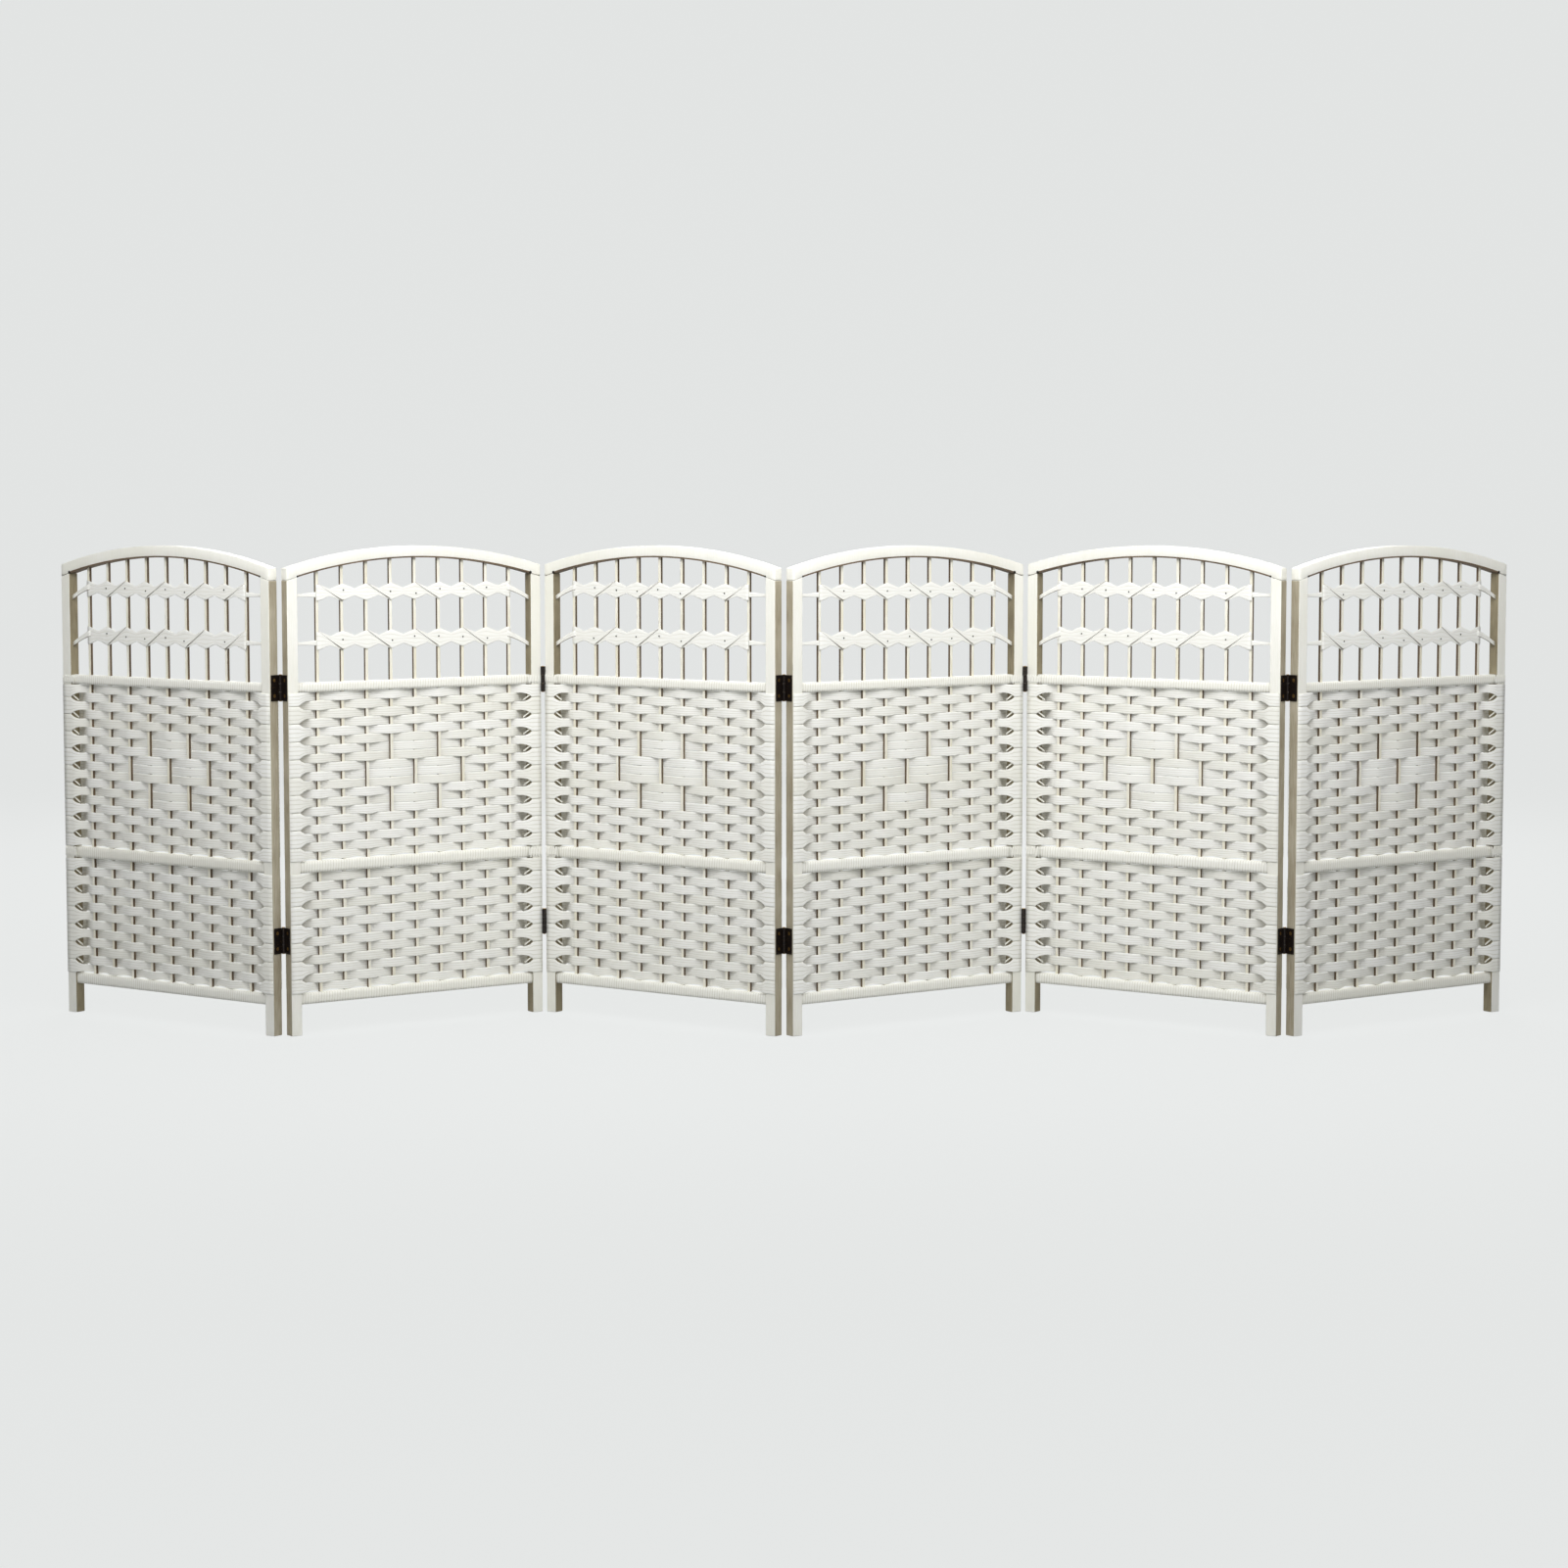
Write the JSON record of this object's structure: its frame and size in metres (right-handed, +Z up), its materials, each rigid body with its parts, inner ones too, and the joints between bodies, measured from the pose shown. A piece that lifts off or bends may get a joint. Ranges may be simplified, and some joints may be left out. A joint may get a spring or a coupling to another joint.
{
  "type": "folding screen",
  "caption": "Folding room screen of hinged arched frames with woven strand panels, open diamond bands over upright canes, and short square legs.",
  "frame": {"origin": "on the floor under the middle of the standing zigzag, at the middle of its length and depth", "axes": "+Z up, +X along the length of the screen, -Y towards the side that the picture shows"},
  "size_m": [2.3078, 0.2742, 0.752],
  "materials": {
    "painted_wood": "ivory paint on square wooden sections, satin",
    "wrapped_rail": "wooden rail wrapped in fine ivory cord",
    "brown_cane": "square split cane, ivory paint front and back, sides left brown",
    "woven_strand": "flat strands of fine cords laid side by side, ivory, matt",
    "band_strand": "flat ivory strand, matt",
    "dark_hinge": "dark bronze lacquer over steel",
    "screw_metal": "brassed steel, slightly worn"
  },
  "bodies": {
    "panel_1": {"panel_1_left_post": "painted_wood", "panel_1_right_post": "painted_wood", "panel_1_top_arch": "painted_wood", "panel_1_rails": "wrapped_rail", "panel_1_canes": "brown_cane", "panel_1_weave": "woven_strand", "panel_1_lattice": "band_strand", "panel_1_hinge_leaves": "dark_hinge", "panel_1_hinge_screws": "screw_metal", "hinge_pins_1_2": "screw_metal"},
    "panel_2": {"panel_2_left_post": "painted_wood", "panel_2_right_post": "painted_wood", "panel_2_top_arch": "painted_wood", "panel_2_rails": "wrapped_rail", "panel_2_canes": "brown_cane", "panel_2_weave": "woven_strand", "panel_2_lattice": "band_strand", "panel_2_hinge_leaves": "dark_hinge", "panel_2_hinge_screws": "screw_metal", "hinge_pins_2_3": "screw_metal"},
    "panel_3": {"panel_3_left_post": "painted_wood", "panel_3_right_post": "painted_wood", "panel_3_top_arch": "painted_wood", "panel_3_rails": "wrapped_rail", "panel_3_canes": "brown_cane", "panel_3_weave": "woven_strand", "panel_3_lattice": "band_strand", "panel_3_hinge_leaves": "dark_hinge", "panel_3_hinge_screws": "screw_metal", "hinge_pins_3_4": "screw_metal"},
    "panel_4": {"panel_4_left_post": "painted_wood", "panel_4_right_post": "painted_wood", "panel_4_top_arch": "painted_wood", "panel_4_rails": "wrapped_rail", "panel_4_canes": "brown_cane", "panel_4_weave": "woven_strand", "panel_4_lattice": "band_strand", "panel_4_hinge_leaves": "dark_hinge", "panel_4_hinge_screws": "screw_metal", "hinge_pins_4_5": "screw_metal"},
    "panel_5": {"panel_5_left_post": "painted_wood", "panel_5_right_post": "painted_wood", "panel_5_top_arch": "painted_wood", "panel_5_rails": "wrapped_rail", "panel_5_canes": "brown_cane", "panel_5_weave": "woven_strand", "panel_5_lattice": "band_strand", "panel_5_hinge_leaves": "dark_hinge", "panel_5_hinge_screws": "screw_metal", "hinge_pins_5_6": "screw_metal"},
    "panel_6": {"panel_6_left_post": "painted_wood", "panel_6_right_post": "painted_wood", "panel_6_top_arch": "painted_wood", "panel_6_rails": "wrapped_rail", "panel_6_canes": "brown_cane", "panel_6_weave": "woven_strand", "panel_6_lattice": "band_strand", "panel_6_hinge_leaves": "dark_hinge", "panel_6_hinge_screws": "screw_metal"}
  },
  "joints": [
    {"name": "fold_3_4", "type": "hinge", "parent": "panel_3", "child": "panel_4", "pos_m": [0, -0.11951, 0.342], "axis": [0, 0, -1], "range_deg": [-110, 70]},
    {"name": "fold_4_5", "type": "hinge", "parent": "panel_4", "child": "panel_5", "pos_m": [0.38565, 0.11951, 0.342], "axis": [0, 0, 1], "range_deg": [-110, 70]},
    {"name": "fold_5_6", "type": "hinge", "parent": "panel_5", "child": "panel_6", "pos_m": [0.77129, -0.11951, 0.342], "axis": [0, 0, -1], "range_deg": [-110, 70]},
    {"name": "fold_2_3", "type": "hinge", "parent": "panel_3", "child": "panel_2", "pos_m": [-0.38565, 0.11951, 0.342], "axis": [0, 0, -1], "range_deg": [-110, 70]},
    {"name": "fold_1_2", "type": "hinge", "parent": "panel_2", "child": "panel_1", "pos_m": [-0.77129, -0.11951, 0.342], "axis": [0, 0, 1], "range_deg": [-110, 70]}
  ]
}
